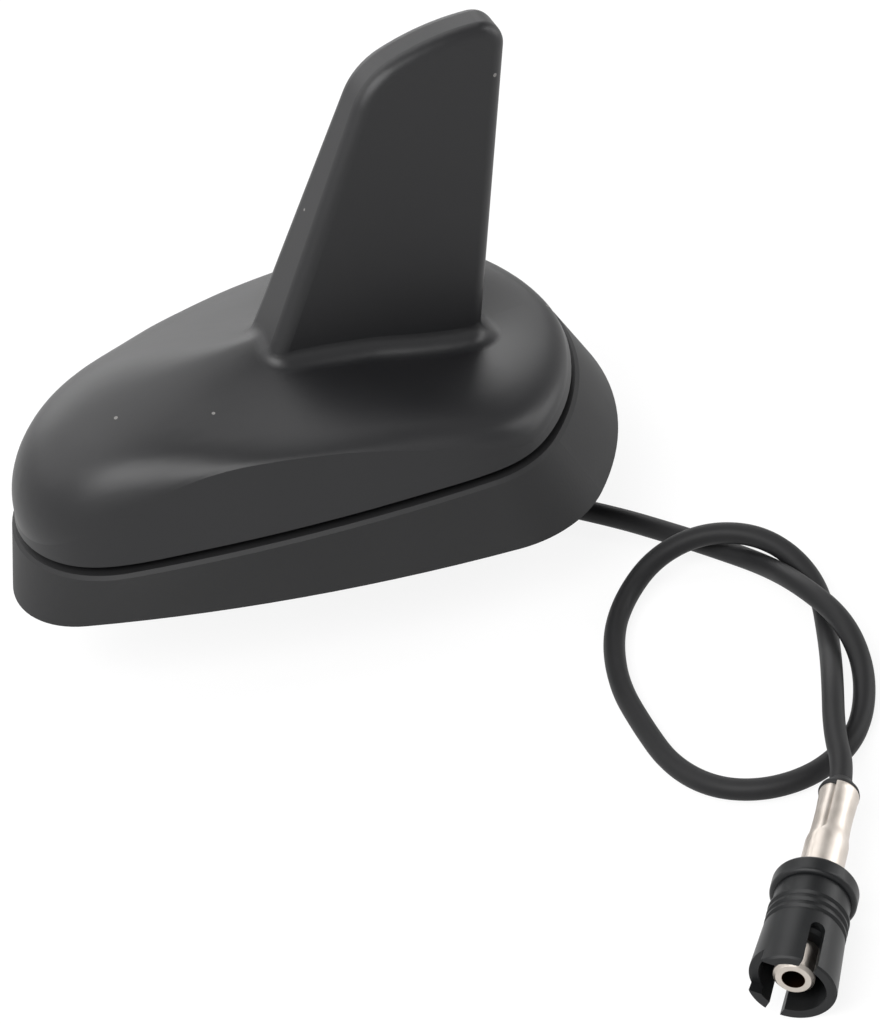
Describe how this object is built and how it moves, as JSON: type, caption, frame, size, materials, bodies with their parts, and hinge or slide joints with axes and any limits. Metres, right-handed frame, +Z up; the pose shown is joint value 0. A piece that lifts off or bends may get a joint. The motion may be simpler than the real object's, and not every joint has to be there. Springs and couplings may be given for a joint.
{
  "type": "car roof antenna",
  "caption": "Short roof antenna: moulded dome with a swept fin on a flared rubber gasket, with a stud below and a coax lead that ends in a slotted aerial plug.",
  "frame": {"origin": "on the stud's axis, at the gasket's bottom face, where the antenna sits on the roof", "axes": "+Z up from the roof, +X to the rear of the vehicle, the nose of the dome at -X"},
  "size_m": [0.1236, 0.1952, 0.0946],
  "materials": {
    "cover_plastic": "satin moulded",
    "gasket_rubber": "matte",
    "cast_plate": "as cast",
    "zinc_steel": "zinc plated",
    "grommet_rubber": "matte",
    "board_laminate": "solder mask",
    "tinned_steel": "tinned",
    "cable_jacket": "satin",
    "tinned_brass": "tin plated",
    "plug_plastic": "semi-gloss",
    "insulator_plastic": "matte"
  },
  "bodies": {
    "root": {"fin_cover": "cover_plastic", "base_gasket": "gasket_rubber", "base_plate": "cast_plate", "mounting_stud": "zinc_steel", "cable_grommet": "grommet_rubber", "circuit_board": "board_laminate", "amplifier_shield": "tinned_steel", "fin_radiator": "board_laminate", "radiator_clip": "tinned_steel", "cover_screw_1": "zinc_steel", "cover_screw_2": "zinc_steel", "cover_screw_3": "zinc_steel", "cover_screw_4": "zinc_steel", "antenna_cable": "cable_jacket", "crimp_ferrule": "tinned_brass", "plug_housing": "plug_plastic", "plug_insulator": "insulator_plastic", "contact_tube": "tinned_brass"}
  },
  "joints": []
}
